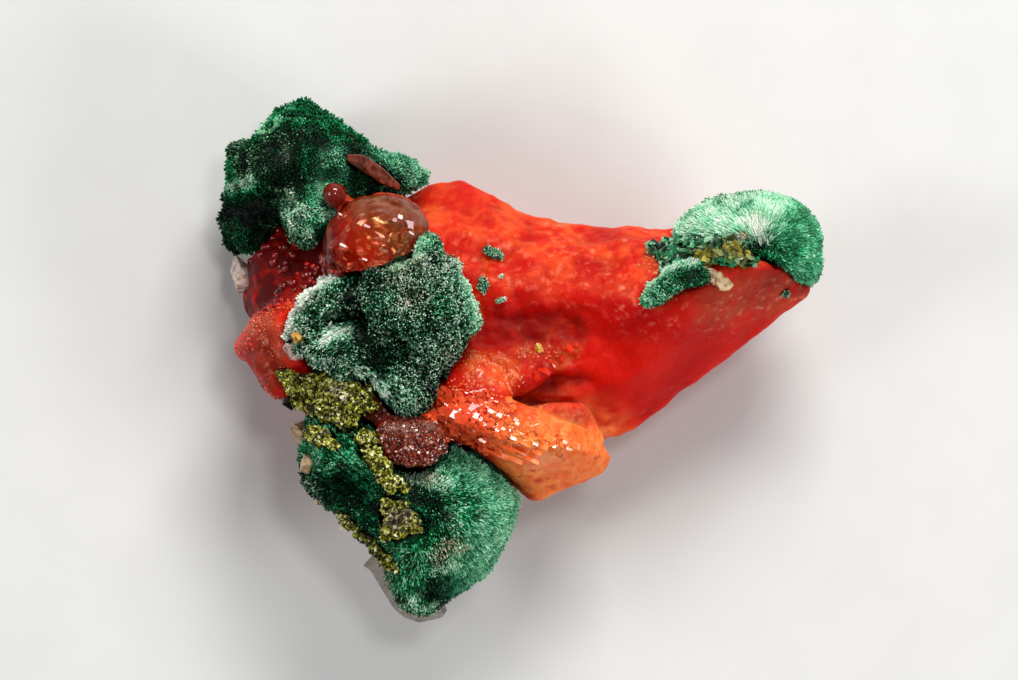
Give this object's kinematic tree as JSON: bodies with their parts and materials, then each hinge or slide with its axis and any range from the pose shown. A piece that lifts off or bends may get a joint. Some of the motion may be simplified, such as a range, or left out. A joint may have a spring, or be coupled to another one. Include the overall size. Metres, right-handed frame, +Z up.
{
  "type": "cuprite specimen",
  "caption": "Natural specimen of red cuprite: a stout blunt arm and a core that carries velvety green malachite clusters, olive crusts and a clear brown knob, lying on its flat broken back.",
  "frame": {"origin": "middle of the outline seen from above, at the level of the flat broken back that the specimen rests on", "axes": "+X along the red arm towards its tip, +Y towards the upper malachite cluster, +Z up, away from the broken back"},
  "size_m": [0.0218, 0.0188, 0.0104],
  "materials": {
    "cuprite": "glossy translucent orange-red crystal, granular on its lit slope",
    "malachite": "velvet of fine green needles with pale tips",
    "olive_crust": "granular olive crust",
    "pale_spar": "pale satin grains",
    "clear_spar": "clear glassy flake",
    "brown_spar": "dark brown satin blade",
    "gold_grain": "glossy honey-yellow grain"
  },
  "bodies": {
    "root": {"cuprite": "cuprite", "cuprite_druse": "cuprite", "malachite_upper": "malachite", "malachite_front": "malachite", "malachite_lower": "malachite", "malachite_cap": "malachite", "malachite_finger": "malachite", "malachite_leaves": "malachite", "speck_top": "malachite", "speck_left": "malachite", "speck_small": "malachite", "speck_low": "malachite", "speck_tip": "malachite", "crust_upper": "olive_crust", "crust_side": "olive_crust", "crust_middle": "olive_crust", "crust_lower": "olive_crust", "crust_rim": "olive_crust", "pink_chip": "pale_spar", "tan_chip": "pale_spar", "tan_flake": "pale_spar", "tan_bead": "pale_spar", "grey_chip": "pale_spar", "pale_side": "pale_spar", "clear_flake": "clear_spar", "dark_chip": "clear_spar", "brown_blade": "brown_spar", "gold_grain": "gold_grain", "ledge_grain": "gold_grain"}
  },
  "joints": []
}
